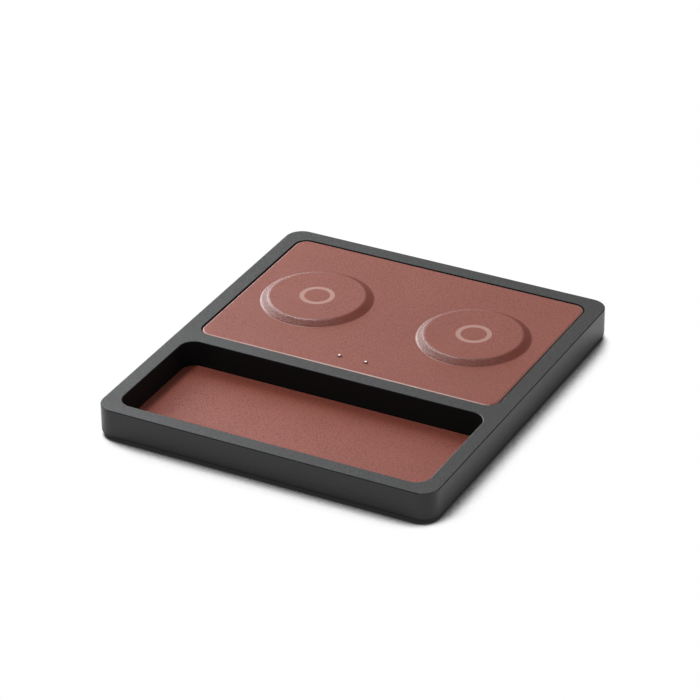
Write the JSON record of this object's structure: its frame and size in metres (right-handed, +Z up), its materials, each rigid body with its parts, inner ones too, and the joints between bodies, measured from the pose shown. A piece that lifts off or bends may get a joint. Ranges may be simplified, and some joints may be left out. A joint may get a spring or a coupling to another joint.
{
  "type": "dual wireless charging tray",
  "caption": "Desk tray with a leather-lined catch-all pocket in front and a leather charging panel with raised round magnetic charging pads behind.",
  "frame": {"origin": "on the surface the feet stand on, under the middle of the tray's outer box", "axes": "+X along the front edge to the right, +Y from the pocket towards the charging panel and the power inlet, +Z up"},
  "size_m": [0.2, 0.2246, 0.0214],
  "materials": {
    "frame_metal": "fine blasted, dark grey anodised",
    "base_plastic": "fine moulded texture",
    "screw_steel": "zinc plated",
    "foot_rubber": "matte",
    "board_fibre": "pressed fibre board",
    "leather": "pebble grain, semi matte",
    "inner_plastic": "moulded",
    "adhesive_tape": "foam tape",
    "clear_plastic": "polished clear acrylic",
    "circuit_board": "green solder mask",
    "component_black": "moulded epoxy",
    "connector_plastic": "natural nylon and ceramic",
    "socket_steel": "drawn stainless shell",
    "magnet_nickel": "nickel plated",
    "yoke_steel": "rolled",
    "ferrite": "sintered, matte",
    "coil_copper": "varnished stranded copper",
    "lead_jacket": "silk served strands and flat lead"
  },
  "bodies": {
    "root": {"tray_frame": "frame_metal", "base_plate": "base_plastic", "base_screws": "screw_steel", "rubber_foot_front_left": "foot_rubber", "rubber_foot_front_right": "foot_rubber", "rubber_foot_back_left": "foot_rubber", "rubber_foot_back_right": "foot_rubber", "liner_board": "board_fibre", "liner_leather": "leather", "panel_leather": "leather", "panel_substrate": "inner_plastic", "panel_tape": "adhesive_tape", "light_pipe_left": "clear_plastic", "light_pipe_right": "clear_plastic", "light_board": "circuit_board", "indicator_lights": "component_black", "light_ribbon": "lead_jacket", "main_board": "circuit_board", "power_socket": "socket_steel", "lead_connectors": "connector_plastic", "controller_chips": "component_black", "power_chokes": "component_black", "resonant_capacitors": "connector_plastic", "board_screws": "screw_steel", "puck_cap_left": "inner_plastic", "puck_carrier_left": "inner_plastic", "puck_magnets_left": "magnet_nickel", "puck_yoke_left": "yoke_steel", "puck_ferrite_left": "ferrite", "puck_coil_left": "coil_copper", "coil_leads_left": "lead_jacket", "puck_cap_right": "inner_plastic", "puck_carrier_right": "inner_plastic", "puck_magnets_right": "magnet_nickel", "puck_yoke_right": "yoke_steel", "puck_ferrite_right": "ferrite", "puck_coil_right": "coil_copper", "coil_leads_right": "lead_jacket"}
  },
  "joints": []
}
